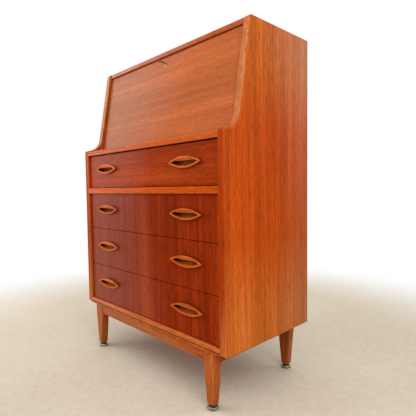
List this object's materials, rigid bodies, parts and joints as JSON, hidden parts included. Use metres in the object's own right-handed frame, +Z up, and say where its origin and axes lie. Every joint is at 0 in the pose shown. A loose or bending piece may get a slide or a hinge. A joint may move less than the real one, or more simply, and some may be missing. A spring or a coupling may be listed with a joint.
{
  "type": "secretary desk",
  "caption": "Upright secretary desk: sloping drop-down writing flap over pigeonholes, a bank of drawers with eye-shaped carved pulls, on a tapered leg frame.",
  "frame": {"origin": "on the floor, under the middle of the desk's bounding box", "axes": "+X to the right of someone who faces the front, +Y to the back, +Z up"},
  "size_m": [0.8, 0.417, 1.141],
  "materials": {
    "teak_side": "satin lacquered teak veneer, upright grain",
    "teak_lipping": "satin lacquered solid teak",
    "teak_top": "satin lacquered teak veneer, lengthwise grain",
    "teak_inside": "matte lacquered teak",
    "teak_solid": "satin oiled solid teak",
    "teak_flap": "satin lacquered teak veneer, lengthwise grain",
    "teak_drawer_top": "satin lacquered teak veneer, lengthwise grain",
    "teak_drawer": "satin lacquered teak veneer, upright grain",
    "beech": "waxed beech",
    "plywood": "plain thin plywood",
    "brass": "aged brass",
    "brass_screw": "brass",
    "steel": "plain steel",
    "nickel": "worn nickel plate",
    "dark_plastic": "dark moulded plastic"
  },
  "bodies": {
    "carcass": {"side_left": "teak_side", "side_right": "teak_side", "side_lippings": "teak_lipping", "top_panel": "teak_top", "top_edge": "teak_lipping", "ledge_board": "teak_inside", "ledge_edge": "teak_lipping", "divider_rail": "teak_lipping", "bottom_panel": "teak_side", "bottom_moulding": "teak_lipping", "back_panel": "plywood", "drawer_runners": "beech", "leg_front_left": "teak_solid", "leg_front_right": "teak_solid", "leg_rear_left": "teak_solid", "leg_rear_right": "teak_solid", "apron_front": "teak_solid", "apron_rear": "teak_solid", "apron_left": "teak_solid", "apron_right": "teak_solid", "glide_cups": "dark_plastic", "glide_discs": "nickel", "interior_floor": "teak_inside", "interior_shelf": "teak_inside", "interior_dividers": "teak_inside", "flap_stop": "teak_inside", "hinge_fixed_leaves": "brass", "hinge_pins": "steel", "stay_studs": "brass", "strike_plate": "brass", "carcass_screws": "brass_screw"},
    "flap": {"flap": "teak_flap", "hinge_moving_leaves": "brass", "quadrant_stays": "brass", "lock_case": "brass", "escutcheon": "brass", "flap_screws": "brass_screw"},
    "bolt": {"lock_bolt": "steel"},
    "key": {"key": "nickel"},
    "drawer_1": {"drawer_1_front": "teak_drawer_top", "drawer_1_sides": "beech", "drawer_1_back": "beech", "drawer_1_bottom": "plywood", "drawer_1_pulls": "teak_solid"},
    "drawer_2": {"drawer_2_front": "teak_drawer", "drawer_2_sides": "beech", "drawer_2_back": "beech", "drawer_2_bottom": "plywood", "drawer_2_pulls": "teak_solid"},
    "drawer_3": {"drawer_3_front": "teak_drawer", "drawer_3_sides": "beech", "drawer_3_back": "beech", "drawer_3_bottom": "plywood", "drawer_3_pulls": "teak_solid"},
    "drawer_4": {"drawer_4_front": "teak_drawer", "drawer_4_sides": "beech", "drawer_4_back": "beech", "drawer_4_bottom": "plywood", "drawer_4_pulls": "teak_solid"}
  },
  "joints": [
    {"name": "flap_hinge", "type": "hinge", "parent": "carcass", "child": "flap", "pos_m": [0, -0.11597, 0.82699], "axis": [1, 0, 0], "range_deg": [0, 99.7]},
    {"name": "key_turn", "type": "hinge", "parent": "flap", "child": "key", "pos_m": [0, -0.08751, 1.10031], "axis": [0, -0.9857, 0.1685], "range_deg": [0, 90]},
    {"name": "bolt_slide", "type": "slide", "parent": "flap", "child": "bolt", "axis": [0, 0.1685, 0.9857], "range_m": [0, 0.008]},
    {"name": "drawer_1_slide", "type": "slide", "parent": "carcass", "child": "drawer_1", "axis": [0, -1, 0], "range_m": [0, 0.28]},
    {"name": "drawer_2_slide", "type": "slide", "parent": "carcass", "child": "drawer_2", "axis": [0, -1, 0], "range_m": [0, 0.28]},
    {"name": "drawer_3_slide", "type": "slide", "parent": "carcass", "child": "drawer_3", "axis": [0, -1, 0], "range_m": [0, 0.28]},
    {"name": "drawer_4_slide", "type": "slide", "parent": "carcass", "child": "drawer_4", "axis": [0, -1, 0], "range_m": [0, 0.28]}
  ],
  "couplings": [
    {"joint": "key_turn", "follows": "bolt_slide", "rad_per_m": 196.34}
  ]
}
